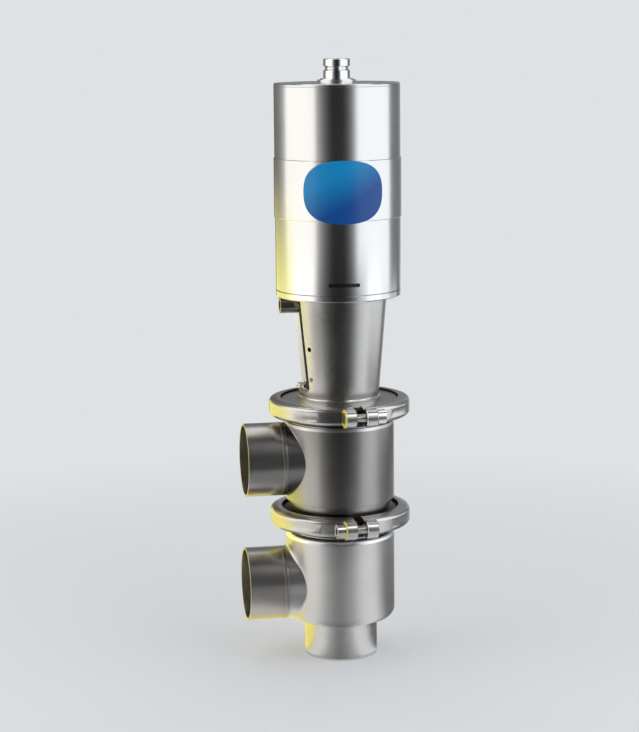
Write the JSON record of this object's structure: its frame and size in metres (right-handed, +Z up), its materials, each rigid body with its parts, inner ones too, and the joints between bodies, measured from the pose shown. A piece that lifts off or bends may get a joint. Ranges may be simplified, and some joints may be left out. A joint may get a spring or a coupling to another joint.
{
  "type": "sanitary shut-off valve",
  "caption": "Upright pneumatic changeover seat valve: clamped cylindrical housings with side ports and a bottom port, open lantern, tall cylindrical actuator and grooved rod end.",
  "frame": {"origin": "centre of the bottom port tube's end face", "axes": "+Z up along the stem, -X along both side ports, away from the housings; the clamp screws face -Y"},
  "size_m": [0.1603, 0.1509, 0.5727],
  "materials": {
    "tube_steel": "satin",
    "housing_steel": "satin",
    "clamp_steel": "satin",
    "actuator_steel": "polished",
    "lantern_steel": "satin",
    "rod_steel": "polished",
    "plug_steel": "satin",
    "screw_steel": "satin",
    "spring_steel": "satin",
    "piston_aluminium": "satin",
    "seal_rubber": "matt",
    "bush_plastic": "matt",
    "bush_bronze": "satin"
  },
  "bodies": {
    "housing": {"bottom_tube": "tube_steel", "lower_side_tube": "tube_steel", "upper_side_tube": "tube_steel", "lower_body": "housing_steel", "upper_body": "housing_steel", "upper_seat_ring": "plug_steel", "seat_ring_lower_gasket": "seal_rubber", "seat_ring_upper_gasket": "seal_rubber", "bonnet_gasket": "seal_rubber", "closure_plate": "housing_steel", "shaft_seal": "seal_rubber", "shaft_bush": "bush_plastic", "lantern": "lantern_steel", "lantern_screws": "screw_steel", "air_port_boss": "screw_steel", "actuator_bottom_cover": "actuator_steel", "retaining_wire": "screw_steel", "bottom_cover_seal": "seal_rubber", "lower_rod_bush": "bush_plastic", "lower_rod_seal": "seal_rubber", "actuator_cylinder": "actuator_steel", "middle_sleeve": "actuator_steel", "actuator_top_cover": "actuator_steel", "upper_rod_bush": "rod_steel", "actuator_spring": "spring_steel", "lower_clamp_screw_half": "clamp_steel", "lower_clamp_bush_half": "clamp_steel", "lower_clamp_hinge_link": "clamp_steel", "lower_clamp_hinge_pins": "screw_steel", "lower_clamp_screw": "screw_steel", "lower_clamp_bush": "bush_bronze", "upper_clamp_screw_half": "clamp_steel", "upper_clamp_bush_half": "clamp_steel", "upper_clamp_hinge_link": "clamp_steel", "upper_clamp_hinge_pins": "screw_steel", "upper_clamp_screw": "screw_steel", "upper_clamp_bush": "bush_bronze"},
    "stem_train": {"lower_plug_disc": "plug_steel", "lower_plug_seal": "seal_rubber", "plug_nut": "plug_steel", "upper_plug_disc": "plug_steel", "upper_plug_seal": "seal_rubber", "plug_spacer": "plug_steel", "valve_stem": "rod_steel", "coupling_front_half": "screw_steel", "coupling_rear_half": "screw_steel", "coupling_screws": "screw_steel", "piston": "piston_aluminium", "piston_seal": "seal_rubber", "piston_guide_band": "bush_plastic", "piston_retaining_rings": "spring_steel", "piston_rod": "rod_steel"}
  },
  "joints": [
    {"name": "stem_lift", "type": "slide", "parent": "housing", "child": "stem_train", "axis": [0, 0, 1], "range_m": [0, 0.03], "stiffness_N_per_m": 2500, "springref_m": -0.02, "deforming": ["actuator_spring"]}
  ]
}
